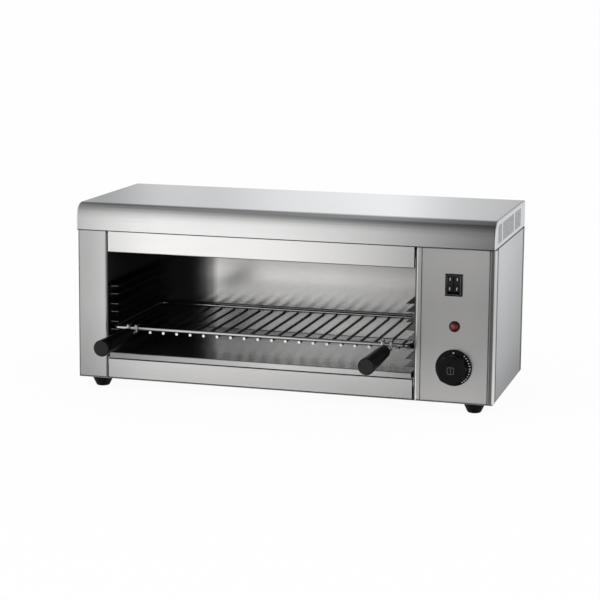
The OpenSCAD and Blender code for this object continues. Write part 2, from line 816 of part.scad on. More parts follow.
module switch_housing() color(BLACK) placed() translate([switch_x, 0, switch_z]) {
  body = [switch_cut[0] / 2 - 0.1, switch_cut[1] / 2 - 0.1];
  difference() {
    union() {
      block([-switch_w / 2, -bezel_t, -switch_h / 2], [switch_w / 2, 0, switch_h / 2]);
      block([-body[0], -weld_gap, -body[1]], [body[0], switch_body_d, body[1]]);
    }
    for (side = [-1, 1]) {
      x = side * rocker_x;
      half = rocker_w / 2 + rocker_gap;
      block([x - half, -bezel_t - cut, -window_half_h], [x + half, pivot_y + 6, window_half_h]);
    }
    bar_x(pivot_y, 0, pin_d + 2 * turn_gap, -rocker_x - rocker_w, rocker_x + rocker_w);
  }
  for (side = [-1, 1])
    for (row = [-1:1]) blade(side * 5, switch_body_d, row * 8);
}

// Rocker with two flat halves, resting with its upper half pressed in
module rocker(side) {
  back = 3.5;
  back_half_h = 7;
  corner = [-1.5, 11.6];
  tip = rocker_tip;
  translate([switch_x + side * rocker_x, pivot_y, switch_z]) {
    rotate([-rocker_swing / 2, 0, 0]) along_x(-rocker_w / 2, rocker_w / 2) polygon([
      [-rocker_vertex, 0], tip, corner, [back, back_half_h], [back, -back_half_h],
      [corner[0], -corner[1]], [tip[0], -tip[1]]]);
    bar_x(0, 0, pin_d, -rocker_w / 2 - pin_len, rocker_w / 2 + pin_len);
  }
}

module rocker_left() color(BLACK) placed() rocker(-1);
module rocker_right() color(BLACK) placed() rocker(1);

// --- Pilot lamp ----------------------------------------------------------------------------

lamp_flange_t = 2.2;
lamp_barrel_len = 22;
lamp_slope = 0.9;
lens_d = 11;
lens_seat = 1;
lens_clear = 0.1;
module lamp_bezel() color(BLACK) placed() translate([control_x, 0, lamp_z]) rotate([90, 0, 0]) {
  r = lamp_d / 2;
  barrel_r = lamp_barrel_d / 2;
  seat_r = lens_d / 2 + lens_clear;
  rotate_extrude() polygon([
    [0, -lamp_barrel_len], [barrel_r, -lamp_barrel_len], [barrel_r, 0], [r, 0], [r, lens_seat],
    [r - lamp_slope, lamp_flange_t], [seat_r, lamp_flange_t], [seat_r, lens_seat], [0, lens_seat]]);
}

module lamp_lens() color(LENS) placed() translate([control_x, 0, lamp_z]) rotate([90, 0, 0])
  rotate_extrude() {
    dome_r = 9;
    dome_h = dome_r - sqrt(pow(dome_r, 2) - pow(lens_d / 2, 2));
    base = 3.4;
    translate([0, lens_seat]) square([lens_d / 2, base - lens_seat]);
    intersection() {
      translate([0, base + dome_h - dome_r]) circle(r = dome_r);
      translate([0, base]) square([lens_d / 2, dome_h + cut]);
    }
  }

// --- Timer ---------------------------------------------------------------------------------

module timer_body() color(CREAM) placed() translate([control_x, 0, knob_z]) difference() {
  union() {
    block([-timer_box[0] / 2, sheet, -timer_box[2] / 2],
      [timer_box[0] / 2, sheet + timer_box[1], timer_box[2] / 2]);
    bar_y(0, 0, timer_boss_d, -0.4, sheet + 1);
    for (column = [-1:1]) blade(column * 12, sheet + timer_box[1], 6.4);
  }
  bar_y(0, 0, spindle_d + 2 * turn_gap, -cut, 22);
  for (side = [-1, 1])
    bar_y(0, side * timer_screw_gap / 2, timer_screw_d + 2 * weld_gap, 0, 9);
}

module timer_spindle() color(ZINC) placed()
  bar_y(control_x, knob_z, spindle_d, -knob_reach + 5, 21);

module timer_screws() color(ZINC) placed()
  for (side = [-1, 1])
    translate([control_x, 0, knob_z + side * timer_screw_gap / 2]) rotate([-90, 0, 0])
      cross_screw(7, 2, timer_screw_d, 8);

// Lobed outline of the knob's grip
module lobed(r) {
  lobe_r = r * 0.45;
  circle(r = 0.8 * r);
  for (i = [0:knob_lobes - 1])
    rotate(90 + i * 360 / knob_lobes) translate([r - lobe_r, 0]) circle(r = lobe_r);
}

module timer_dial() color(BLACK) placed() translate([control_x, 0, knob_z]) rotate([90, 0, 0]) {
  r = dial_d / 2;
  hub_r = timer_boss_d / 2 + dial_wall;
  bore_r = spindle_d / 2 + 0.5;
  rotate_extrude() polygon([
    [bore_r, 0.4], [hub_r - dial_wall, 0.4], [hub_r - dial_wall, 0], [hub_r, 0],
    [hub_r, dial_t - dial_wall], [r - dial_wall, dial_t - dial_wall], [r - dial_wall, 0], [r, 0],
    [r, dial_t - 2.2], [r - 0.8, dial_t - 0.8], [knob_d / 2 - 1, dial_t], [bore_r, dial_t]]);
}

module timer_knob() color(BLACK) placed() translate([control_x, 0, knob_z]) rotate([90, 0, 0]) {
  r = knob_d / 2;
  back = dial_t + knob_gap;
  edge = 1.2;
  hub_d = spindle_d + 5;
  difference() {
    union() {
      translate([0, 0, back]) linear_extrude(knob_reach - edge - back) lobed(r);
      translate([0, 0, knob_reach - edge]) cylinder(h = edge, r1 = r - 1.4, r2 = r - 2.8);
    }
    // Hollow back round the hub
    difference() {
      translate([0, 0, back - cut]) cylinder(h = knob_reach - knob_wall - back, r = r - 2 * knob_wall);
      translate([0, 0, back - 2 * cut]) cylinder(h = knob_reach, d = hub_d);
    }
    translate([0, 0, back - cut])
      cylinder(h = knob_reach - 5 - back + cut, d = spindle_d + 2 * weld_gap);
  }
}

// --- Supply --------------------------------------------------------------------------------

module terminal_block() color(CREAM) placed() {
  poles = 3;
  pole_pitch = 12;
  size = [poles * pole_pitch, 17, 15];
  origin = [gland_x - size[0] / 2, body_d - 75, z_frame];
  difference() {
    block(origin, origin + size);
    for (i = [0:poles - 1]) {
      x = origin[0] + (i + 0.5) * pole_pitch;
      bar_y(x, z_frame + 7, 4, origin[1] - cut, origin[1] + size[1] + cut);
      translate([x, origin[1] + size[1] / 2, z_frame + 7]) cylinder(h = 10, d = 4.5);
    }
  }
}

gland_af = 22;
gland_hex_h = 5;
gland_nut_h = 4;
gland_thread_len = 7;
gland_body_r = 9.6;
gland_tip = [[gland_body_r, 7], [8.6, 3], [7, 0]];
module cable_gland() color(BLACK) placed() translate([gland_x, body_d - sheet, gland_z])
  rotate([-90, 0, 0]) {
    out = gland_reach + sheet;
    low = -sheet - gland_thread_len;
    difference() {
      union() {
        cylinder(h = gland_hex_h, d = gland_af / cos(30), $fn = 6);
        rotate_extrude() polygon(concat(
          [[0, 0], [gland_body_r, 0]], [for (p = gland_tip) [p[0], out - p[1]]], [[0, out]]));
        translate([0, 0, low]) cylinder(h = cut - low, d = gland_thread_d);
      }
      translate([0, 0, low - cut]) cylinder(h = out - low + 2 * cut, d = cable_d);
    }
  }

module gland_nut() color(BLACK) placed() translate([gland_x, body_d - 2 * sheet, gland_z])
  rotate([90, 0, 0]) difference() {
    cylinder(h = gland_nut_h, d = gland_af / cos(30), $fn = 6);
    translate([0, 0, -cut])
      cylinder(h = gland_nut_h + 2 * cut, d = gland_thread_d + 2 * weld_gap);
  }

// --- Feet ----------------------------------------------------------------------------------

foot_spots = [
  for (y = [foot_inset_y, body_d - foot_inset_y])
    for (side = [-1, 1]) [side * (half_w - foot_inset_x), y]
];

foot_web = 5;
foot_bore_d = 11;
foot_nut_h = 4;
foot_nut_af = 8;
nut_room = [12, 8];
foot_head = [9, 3];
module foot(i) translate([foot_spots[i][0], foot_spots[i][1], 0]) difference() {
  edge = 1.2;
  rotate_extrude() polygon([
    [0, 0], [foot_bottom_d / 2 - edge, 0], [foot_bottom_d / 2, edge],
    [foot_top_d / 2, foot_h - edge], [foot_top_d / 2, foot_h], [0, foot_h]]);
  translate([0, 0, -cut]) cylinder(h = foot_h + 2 * cut, d = foot_hole_d);
  translate([0, 0, -cut]) cylinder(h = foot_h - foot_web + cut, d = foot_bore_d);
}

module foot_front_left() color(RUBBER) placed() foot(0);
module foot_front_right() color(RUBBER) placed() foot(1);
module foot_rear_left() color(RUBBER) placed() foot(2);
module foot_rear_right() color(RUBBER) placed() foot(3);

module foot_screws() color(ZINC) placed()
  for (spot = foot_spots) translate([spot[0], spot[1], foot_h - foot_web]) {
    translate([0, 0, -foot_head[1]]) cylinder(h = foot_head[1], d = foot_head[0]);
    cylinder(h = foot_web + sheet + foot_nut_h + 2, d = foot_screw_d);
  }

module foot_nuts() color(ZINC) placed()
  for (spot = foot_spots) translate([spot[0], spot[1], z_frame]) difference() {
    cylinder(h = foot_nut_h, d = foot_nut_af / cos(30), $fn = 6);
    translate([0, 0, -cut]) cylinder(h = foot_nut_h + 2 * cut, d = foot_screw_d + 2 * weld_gap);
  }

// --- Nodes ---------------------------------------------------------------------------------

bottom_plate();
left_side_panel();
right_side_panel();
control_panel();
top_rail();
bottom_rail();
back_panel();
cover_shell();
cover_end_left();
cover_end_right();
chamber_wall_left();
chamber_wall_right();
chamber_back();
chamber_floor();
reflector();
element_front();
element_rear();
element_hanger_left();
element_hanger_right();
runner_left(1);  // runner_left_1
runner_left(2);  // runner_left_2
runner_left(3);  // runner_left_3
runner_left(4);  // runner_left_4
runner_right(1);  // runner_right_1
runner_right(2);  // runner_right_2
runner_right(3);  // runner_right_3
runner_right(4);  // runner_right_4
crumb_tray();
shelf_rim();
shelf_rods();
handle_wire_left();
handle_wire_right();
handle_grip_left();
handle_grip_right();
switch_housing();
rocker_left();
rocker_right();
lamp_bezel();
lamp_lens();
timer_dial();
timer_knob();
timer_spindle();
timer_body();
timer_screws();
terminal_block();
cable_gland();
gland_nut();
foot_front_left();
foot_front_right();
foot_rear_left();
foot_rear_right();
foot_screws();
foot_nuts();
back_screws();
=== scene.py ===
import math

import bmesh
import bpy
from mathutils import Matrix, Vector


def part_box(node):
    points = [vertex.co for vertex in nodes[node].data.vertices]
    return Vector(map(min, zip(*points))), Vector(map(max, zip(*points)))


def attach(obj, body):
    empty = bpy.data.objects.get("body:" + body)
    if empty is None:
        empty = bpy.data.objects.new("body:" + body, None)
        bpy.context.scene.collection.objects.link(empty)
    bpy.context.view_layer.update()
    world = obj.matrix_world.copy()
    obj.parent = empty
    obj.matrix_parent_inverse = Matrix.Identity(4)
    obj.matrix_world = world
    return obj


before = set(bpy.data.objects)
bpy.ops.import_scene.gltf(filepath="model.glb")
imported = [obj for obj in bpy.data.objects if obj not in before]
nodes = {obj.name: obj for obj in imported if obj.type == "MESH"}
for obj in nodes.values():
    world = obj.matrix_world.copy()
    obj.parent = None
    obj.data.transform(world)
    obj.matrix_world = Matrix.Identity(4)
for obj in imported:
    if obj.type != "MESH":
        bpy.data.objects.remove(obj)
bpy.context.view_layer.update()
mm = 0.001


def middle(name):
    low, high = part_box(name)
    return (low + high) / 2


class Link:
    # an output socket that takes arithmetic
    def __init__(self, sheet, socket):
        self.sheet = sheet
        self.socket = socket

    def __add__(self, other):
        return self.sheet.maths("ADD", self, other)

    def __radd__(self, other):
        return self.sheet.maths("ADD", other, self)

    def __sub__(self, other):
        return self.sheet.maths("SUBTRACT", self, other)

    def __rsub__(self, other):
        return self.sheet.maths("SUBTRACT", other, self)

    def __mul__(self, other):
        return self.sheet.maths("MULTIPLY", self, other)

    def __rmul__(self, other):
        return self.sheet.maths("MULTIPLY", other, self)

    def __truediv__(self, other):
        return self.sheet.maths("DIVIDE", self, other)

    def __rtruediv__(self, other):
        return self.sheet.maths("DIVIDE", other, self)

    def other(self, name):
        # another output of the same node
        return Link(self.sheet, self.socket.node.outputs[name])

    def clamped(self):
        return self.sheet.maths("ADD", self, 0.0, clamp=True)

    def stepped(self, low, high):
        # smooth step from 0 at low to 1 at high
        return self.sheet.add("ShaderNodeMapRange", {"interpolation_type": "SMOOTHSTEP"},
                              {"Value": self, "From Min": low, "From Max": high})


def grey(level, warm=0.0):
    return (level * (1 + warm), level, level * (1 - warm), 1)


def shaded(colour, times, plus=0.0):
    return tuple(min(1.0, part * times + plus) for part in colour) + (1,)


# how the painted shade of fades and creases is laid over a skin
shadePaintLooks = {
    "reach": 0.4,     # metres either side of the middle that a fade covers
    "core": 0.3,      # share of a crease's half width that is fully dark
    "dark": 0.02,     # level of the painted shade, where nothing of the skin is left
}


class Sheet:
    # node tree of a material or of the world
    def __init__(self, owner, outputKind):
        owner.use_nodes = True
        self.owner = owner
        self.tree = owner.node_tree
        self.tree.nodes.clear()
        self.outputKind = outputKind

    def add(self, kind, settings=None, values=None, out=0):
        # a node of any type, with its settings, then values or links of its sockets
        node = self.tree.nodes.new(kind)
        for key, value in (settings or {}).items():
            if key == "stops":
                self.setStops(node.color_ramp.elements, value)
            else:
                setattr(node, key, value)
        for key, value in (values or {}).items():
            if isinstance(value, Link):
                self.tree.links.new(value.socket, node.inputs[key])
            else:
                node.inputs[key].default_value = value
        return None if out is None else Link(self, node.outputs[out])

    def setStops(self, elements, stops):
        # a new ramp has two elements, and it always keeps one
        elements.remove(elements[1])
        while len(elements) < len(stops):
            elements.new(1.0)
        for element, (place, level) in zip(elements, stops):
            element.position = place
            element.color = grey(level)

    def finish(self, shader):
        self.add(self.outputKind, None, {"Surface": shader}, None)
        return self.owner

    def maths(self, operation, first, second=None, clamp=False):
        values = {0: first} if second is None else {0: first, 1: second}
        return self.add("ShaderNodeMath", {"operation": operation, "use_clamp": clamp}, values)

    def spot(self):
        # place on the piece, in metres
        return self.add("ShaderNodeTexCoord", out="Object")

    def along(self, axis):
        return self.add("ShaderNodeSeparateXYZ", None, {0: self.spot()}, axis)

    def noise(self, cells, detail, rough):
        # cells to the metre along X, Y and Z
        vector = self.add("ShaderNodeMapping", None, {"Vector": self.spot(), "Scale": cells})
        return self.add("ShaderNodeTexNoise", None, {
            "Vector": vector, "Scale": 1.0, "Detail": detail, "Roughness": rough})

    def bump(self, height, strength, distance):
        return self.add("ShaderNodeBump", None, {
            "Height": height, "Strength": strength, "Distance": distance})

    def mixed(self, factor, first, second):
        # 6 and 7 are the node's sockets for colours, and 2 is its output for them
        return self.add("ShaderNodeMix", {"data_type": "RGBA"},
                        {0: factor, 6: first, 7: second}, 2)

    def either(self, factor, first, second):
        # the first shader at 0, the second at 1
        return self.add("ShaderNodeMixShader", None, {0: factor, 1: first, 2: second})

    def graph(self, value, stops, reach=1.0):
        # level along straight lines between (value, level) stops, from -reach to reach
        span = 2 * reach
        places = [(place / span + 0.5, level) for place, level in stops]
        return self.add("ShaderNodeValToRGB", {"stops": places}, {"Fac": value / span + 0.5})

    def masked(self, skin, shadeFades, shadeLines):
        # painted shade: skin darkened along its own axes by fades (axis, stops), and in creases,
        # painted shade lines where sheets meet and at folds (axis, place along it, half width,
        # share left)
        if not shadeFades and not shadeLines:
            return skin
        shadeMask = 1.0
        for axis, stops in shadeFades:
            shadeMask = shadeMask * self.graph(self.along(axis), stops, shadePaintLooks["reach"])
        for axis, place, half, left in shadeLines:
            away = self.maths("ABSOLUTE", self.along(axis) - place)
            shadeMask = shadeMask * (away.stepped(half * shadePaintLooks["core"], half) * (1 - left) + left)
        # the painted shade itself, a near-black matt surface mixed in where the mask is low
        dark = self.add("ShaderNodeBsdfDiffuse", None, {"Color": grey(shadePaintLooks["dark"])})
        return self.either(shadeMask, dark, skin)


def newSheet(name):
    return Sheet(bpy.data.materials.new(name), "ShaderNodeOutputMaterial")


# a noise is given as cells to the metre along X, Y and Z, detail and roughness, a bump as
# strength and height, and tints as the darkest and the lightest share of the level
brushedLooks = {
    "acrossCells": 900.0,     # across and along the brushing
    "alongCells": 6.0,
    "streak": (5.0, 0.6),
    "cloud": ((7, 7, 7), 3.0, 0.55),
    "tints": (0.8, 1.2),
    "streakShade": 0.10,
    "streakRough": 0.08,
    "cloudRough": 0.06,
    "bump": (0.03, 0.2 * mm),
}


# creases and fades lay painted shade over the steel
def brushedSteel(name, level, axis, warm, roughness, smudge=0.05, shadeLines=(), shadeFades=()):
    looks = brushedLooks
    sheet = newSheet(name)
    cells = [looks["acrossCells"]] * 3
    cells["XYZ".index(axis)] = looks["alongCells"]
    streak = sheet.noise(cells, *looks["streak"])
    cloud = sheet.noise(*looks["cloud"])
    dark, light = looks["tints"]
    shade = (streak - 0.5) * looks["streakShade"] + (cloud - 0.5) * smudge + 0.5
    colour = sheet.mixed(shade.clamped(), grey(level * dark, warm), grey(level * light, warm))
    rough = (streak - 0.5) * looks["streakRough"] + (cloud - 0.5) * looks["cloudRough"]
    skin = sheet.add("ShaderNodeBsdfPrincipled", None, {
        "Base Color": colour, "Metallic": 1.0, "Roughness": (rough + roughness).clamped(),
        "Normal": sheet.bump(streak, *looks["bump"])})
    return sheet.finish(sheet.masked(skin, shadeFades, shadeLines))


polishedLooks = {
    "cloud": ((9, 9, 9), 4.0, 0.6),
    "fine": ((60, 60, 260), 3.0, 0.5),
    "tints": (0.88, 1.08),
    "cloudRough": 0.12,
    "fineRough": 0.06,
    "waveHeight": 1.5 * mm,
}


# fades lay painted shade over the polished steel
def polishedSteel(name, level, roughness, warm=0.0, shadeFades=(), wave=0.06):
    looks = polishedLooks
    sheet = newSheet(name)
    cloud = sheet.noise(*looks["cloud"])
    fine = sheet.noise(*looks["fine"])
    dark, light = looks["tints"]
    colour = sheet.mixed(cloud, grey(level * dark, warm), grey(level * light, warm))
    rough = (cloud - 0.5) * looks["cloudRough"] + (fine - 0.5) * looks["fineRough"]
    skin = sheet.add("ShaderNodeBsdfPrincipled", None, {
        "Base Color": colour, "Metallic": 1.0, "Roughness": (rough + roughness).clamped(),
        "Normal": sheet.bump(cloud, wave, looks["waveHeight"])})
    return sheet.finish(sheet.masked(skin, shadeFades, ()))


wireLooks = {
    "drawn": ((900, 30, 900), 3.0, 0.5),
    "tints": (0.9, 1.05),
    "drawnRough": 0.12,
    "bump": (0.05, 0.1 * mm),
    "endDepth": 0.6 * mm,     # over which a cut end turns into the wire's side
}


def platedWire(name, level, roughness, ends=None):
    # ends is the level of the cut ends, and the y of the plane that they stand in front of
    looks = wireLooks
    sheet = newSheet(name)
    drawn = sheet.noise(*looks["drawn"])
    dark, light = looks["tints"]
    colour = sheet.mixed(drawn, grey(level * dark), grey(level * light))
    if ends:
        endLevel, endAt = ends
        side = sheet.along("Y").stepped(endAt, endAt + looks["endDepth"])
        colour = sheet.mixed(side, grey(endLevel), colour)
    rough = (drawn - 0.5) * looks["drawnRough"] + roughness
    skin = sheet.add("ShaderNodeBsdfPrincipled", None, {
        "Base Color": colour, "Metallic": 1.0, "Roughness": rough.clamped(),
        "Normal": sheet.bump(drawn, *looks["bump"])})
    return sheet.finish(skin)


plasticLooks = {
    "speck": (2.0, 0.6),
    "cloud": ((25, 25, 25), 3.0, 0.5),
    "dark": 0.85,
    "pale": (1.25, 0.001),    # times the colour, and added to it
    "speckRough": 0.14,
    "cloudRough": 0.12,
    "bumpHeight": 0.2 * mm,
}


def plasticGrain(sheet, cells):
    # speck, cloud, and what the two add to the roughness
    looks = plasticLooks
    speck = sheet.noise((cells, cells, cells), *looks["speck"])
    cloud = sheet.noise(*looks["cloud"])
    rough = (speck - 0.5) * looks["speckRough"] + (cloud - 0.5) * looks["cloudRough"]
    return speck, cloud, rough


def mouldedPlastic(name, colour, roughness, cells, bump=0.08, shine=0.5):
    looks = plasticLooks
    sheet = newSheet(name)
    speck, cloud, rough = plasticGrain(sheet, cells)
    base = sheet.mixed(cloud, shaded(colour, looks["dark"]), shaded(colour, *looks["pale"]))
    skin = sheet.add("ShaderNodeBsdfPrincipled", None, {
        "Base Color": base, "Metallic": 0.0, "Roughness": (rough + roughness).clamped(),
        "Specular IOR Level": shine, "Normal": sheet.bump(speck, bump, looks["bumpHeight"])})
    return sheet.finish(skin)


gripLooks = {
    "side": 0.002,
    "end": 0.023,
    "endTints": (0.85, 1.15),
    "endDepth": 0.3 * mm,
    "endRough": 0.2,          # on top of the side's
    "roughness": 0.36,
    "shine": 0.14,
    "cells": 700,
    "bump": 0.05,
}


def gripPlastic(name):
    # glossy black, with a paler matt flat at the front end
    looks = gripLooks
    sheet = newSheet(name)
    speck, cloud, rough = plasticGrain(sheet, looks["cells"])
    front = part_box("handle_grip_left")[0].y
    side = sheet.along("Y").stepped(front + looks["endDepth"], front + 2 * looks["endDepth"])
    dark, light = looks["endTints"]
    base = sheet.mixed(cloud, grey(looks["end"] * dark), grey(looks["end"] * light))
    base = sheet.mixed(side, base, grey(looks["side"]))
    rough = rough + (1 - side) * looks["endRough"] + looks["roughness"]
    skin = sheet.add("ShaderNodeBsdfPrincipled", None, {
        "Base Color": base, "Metallic": 0.0, "Roughness": rough.clamped(),
        "Specular IOR Level": looks["shine"],
        "Normal": sheet.bump(speck, looks["bump"], plasticLooks["bumpHeight"])})
    return sheet.finish(skin)


lensLooks = {
    "colour": (0.20, 0.022, 0.020),
    "rimShade": 0.25,
    "glow": (5.2 * mm, 1.2 * mm),     # from the axis, where it starts and where it is full
    "ringPitch": 5200.0,              # radians to the metre
    "ringRough": 0.03,
    "roughness": 0.2,
    "coat": 0.6,
    "coatRoughness": 0.08,
    "bump": (0.12, 0.2 * mm),
}


def lampLens(name):
    # dark red moulding with fine rings round its axis
    looks = lensLooks
    sheet = newSheet(name)
    near = sheet.add("ShaderNodeVectorMath", {"operation": "SUBTRACT"},
                     {0: sheet.spot(), 1: middle("lamp_lens")})
    flat = sheet.add("ShaderNodeVectorMath", {"operation": "MULTIPLY"}, {0: near, 1: (1, 0, 1)})
    reach = sheet.add("ShaderNodeVectorMath", {"operation": "LENGTH"}, {0: flat}, "Value")
    ring = sheet.maths("SINE", reach * looks["ringPitch"])
    base = sheet.mixed(reach.stepped(*looks["glow"]), shaded(looks["colour"], looks["rimShade"]),
                       shaded(looks["colour"], 1.0))
    rough = ring * looks["ringRough"] + looks["roughness"]
    skin = sheet.add("ShaderNodeBsdfPrincipled", None, {
        "Base Color": base, "Metallic": 0.0, "Roughness": rough.clamped(),
        "Coat Weight": looks["coat"], "Coat Roughness": looks["coatRoughness"],
        "Normal": sheet.bump(ring, *looks["bump"])})
    return sheet.finish(skin)


inkLooks = {
    "wear": ((700, 700, 700), 3.0, 0.6),
    "worn": 0.85,
    "wearRough": 0.2,
    "roughness": 0.4,
}


def ink(name, level):
    looks = inkLooks
    sheet = newSheet(name)
    wear = sheet.noise(*looks["wear"])
    base = sheet.mixed(wear, grey(level * looks["worn"]), grey(level))
    rough = wear * looks["wearRough"] + looks["roughness"]
    skin = sheet.add("ShaderNodeBsdfPrincipled", None, {
        "Base Color": base, "Metallic": 0.0, "Roughness": rough.clamped()})
    return sheet.finish(skin)


panelLow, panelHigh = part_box("control_panel")
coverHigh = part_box("cover_shell")[1]
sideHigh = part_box("right_side_panel")[1]
railLow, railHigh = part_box("bottom_rail")
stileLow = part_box("left_side_panel")[0]

# painted shade lines where sheets meet, at folds and pressed lines and along edges: axis, place
# along it, half width, share left
underCover = ("Z", panelHigh.z, 1.7 * mm, 0.35)
panelTop = ("Z", panelHigh.z, 2.2 * mm, 0.1)
pressedLines = [("X", edge, 1.0 * mm, 0.2)
                for edge in (panelLow.x + 8 * mm, panelHigh.x - 8 * mm)]
cornerLines = [("X", panelHigh.x - 3.0 * mm, 1.3 * mm, 0.25),
               ("X", panelHigh.x - 5.2 * mm, 4.5 * mm, 0.62)]
returnEdge = ("Y", panelHigh.y + 1.0 * mm, 4.3 * mm, 0.22)
rearEdge = ("Y", sideHigh.y, 20 * mm, 0.25)
capJoint = ("X", coverHigh.x, 0.5 * mm, 0.3)
leftEdge = ("X", stileLow.x, 2.6 * mm, 0.1)
railEdges = [("Z", railHigh.z, 1.8 * mm, 0.1), ("Z", railLow.z, 1.6 * mm, 0.2)]

# painted shade: how some sheets are darkened along an axis, standing in for reflections and for
# shade near the floor and in the chamber: axis, (metres, share left) stops
stilePaintedShade = (("Z", ((0.0, 0.6), (0.025, 0.72), (0.12, 0.96), (0.215, 1.0))),
              ("X", ((-0.3, 0.84), (-0.28, 0.9), (-0.262, 1.0))))
panelPaintedShade = (("Z", ((0.025, 1.0), (0.095, 0.75), (0.15, 0.71), (0.215, 0.82))),
              ("X", ((0.2, 0.86), (0.225, 0.93), (0.265, 1.0))))
sidePaintedShade = (("Z", ((0.025, 0.585), (0.07, 0.735), (0.12, 0.83), (0.17, 0.93), (0.215, 1.0))),
             ("Y", ((-0.01, 1.0), (0.13, 0.87))))
bottomPaintedShade = (("X", ((-0.25, 0.63), (0.0, 0.72), (0.1, 0.8), (0.19, 1.0))),
               ("Z", ((0.02, 0.9), (0.04, 1.0))))
backPaintedShade = (("Z", ((0.13, 1.0), (0.16, 0.6), (0.19, 0.5))),
             ("X", ((-0.185, 0.25), (-0.172, 0.38), (-0.162, 0.84), (-0.09, 0.84), (-0.04, 0.93),
                    (0.02, 1.0))))
trayPaintedShade = (("X", ((-0.23, 0.4), (-0.15, 0.55), (-0.07, 0.7), (0.0, 0.95), (0.1, 1.0),
                    (0.19, 0.85))),)

print("finishes")
finishes = {
    "topSteel": brushedSteel(
        "top_steel", level=0.79, axis="X", warm=-0.002, roughness=0.15, smudge=0.03,
        shadeLines=[underCover, capJoint]),
    "railSteel": brushedSteel(
        "rail_steel", level=0.84, axis="X", warm=0.004, roughness=0.15, smudge=0.04,
        shadeLines=[underCover]),
    "lowRailSteel": brushedSteel(
        "low_rail_steel", level=0.84, axis="X", warm=0.004, roughness=0.17, smudge=0.04,
        shadeLines=railEdges, shadeFades=bottomPaintedShade),
    "stileSteel": brushedSteel(
        "stile_steel", level=0.76, axis="Z", warm=0.0, roughness=0.22,
        shadeLines=[underCover, leftEdge], shadeFades=stilePaintedShade),
    "panelSteel": brushedSteel(
        "panel_steel", level=0.95, axis="Z", warm=0.006, roughness=0.3,
        shadeLines=[panelTop, returnEdge] + pressedLines + cornerLines, shadeFades=panelPaintedShade),
    "sideSteel": brushedSteel(
        "side_steel", level=0.8, axis="Z", warm=0.0, roughness=0.28,
        shadeLines=[underCover, returnEdge, rearEdge], shadeFades=sidePaintedShade),
    "backSteel": brushedSteel("back_steel", level=0.5, axis="Z", warm=0.0, roughness=0.28),
    "capSteel": brushedSteel(
        "cap_steel", level=0.92, axis="Y", warm=0.0, roughness=0.28, smudge=0.03,
        shadeLines=[underCover, capJoint]),
    "baseSteel": brushedSteel("base_steel", level=0.4, axis="X", warm=0.0, roughness=0.4),
    "chamberSteel": polishedSteel("chamber_polish", level=0.68, roughness=0.22),
    "backWallSteel": polishedSteel(
        "back_wall_polish", level=0.92, roughness=0.17, warm=0.006, shadeFades=backPaintedShade, wave=0.02),
    # the chamber's side walls, its roof reflector and the runners are painted dark, standing in
    # for the dark chamber that their bright steel reflects
    "chamberSides": polishedSteel("chamber_sides", level=0.17, roughness=0.16),
    "darkPaintedRoof": polishedSteel("roof_steel", level=0.06, roughness=0.28),
    "runnerSteel": polishedSteel("runner_polish", level=0.16, roughness=0.2),
    "traySteel": brushedSteel(
        "tray_steel", level=0.68, axis="Y", warm=0.0, roughness=0.17, smudge=0.06,
        shadeFades=trayPaintedShade),
    "wire": platedWire("plated_wire", level=0.72, roughness=0.16),
    # the rods are painted nearly black, standing in for the dark chamber they reflect; their cut
    # ends keep a bright metal level
    "rod": platedWire("rod_wire", level=0.045, roughness=0.2, ends=(0.9, -62.2 * mm)),
    "zinc": platedWire("zinc_plate", level=0.66, roughness=0.30),
    "sheath": mouldedPlastic(
        "element_sheath", colour=(0.05, 0.047, 0.044), roughness=0.5, cells=900),
    "grip": gripPlastic("grip_moulding"),
    "control": mouldedPlastic(
        "control_moulding", colour=(0.003, 0.003, 0.0033), roughness=0.42, cells=1200,
        bump=0.10, shine=0.2),
    "rocker": mouldedPlastic(
        "rocker_moulding", colour=(0.008, 0.008, 0.010), roughness=0.34, cells=1200,
        bump=0.06, shine=0.3),
    "lampRing": mouldedPlastic(
        "lamp_ring_moulding", colour=(0.018, 0.003, 0.003), roughness=0.3, cells=1200,
        bump=0.06, shine=0.2),
    "nylon": mouldedPlastic(
        "gland_nylon", colour=(0.020, 0.020, 0.021), roughness=0.5, cells=800),
    "cream": mouldedPlastic(
        "cream_insulator", colour=(0.55, 0.51, 0.43), roughness=0.5, cells=600),
    "rubber": mouldedPlastic(
        "foot_rubber", colour=(0.004, 0.004, 0.004), roughness=0.6, cells=500,
        bump=0.15, shine=0.2),
    "lens": lampLens("lamp_red"),
    "ink": ink("mark_ink", level=0.9),
    "greyInk": ink("rocker_ink", level=0.45),
    # faint grey for the knob's printed sign and for the painted highlight round the rockers'
    # window
    "faintInkAndHighlight": ink("sign_ink_and_highlight", level=0.13),
}

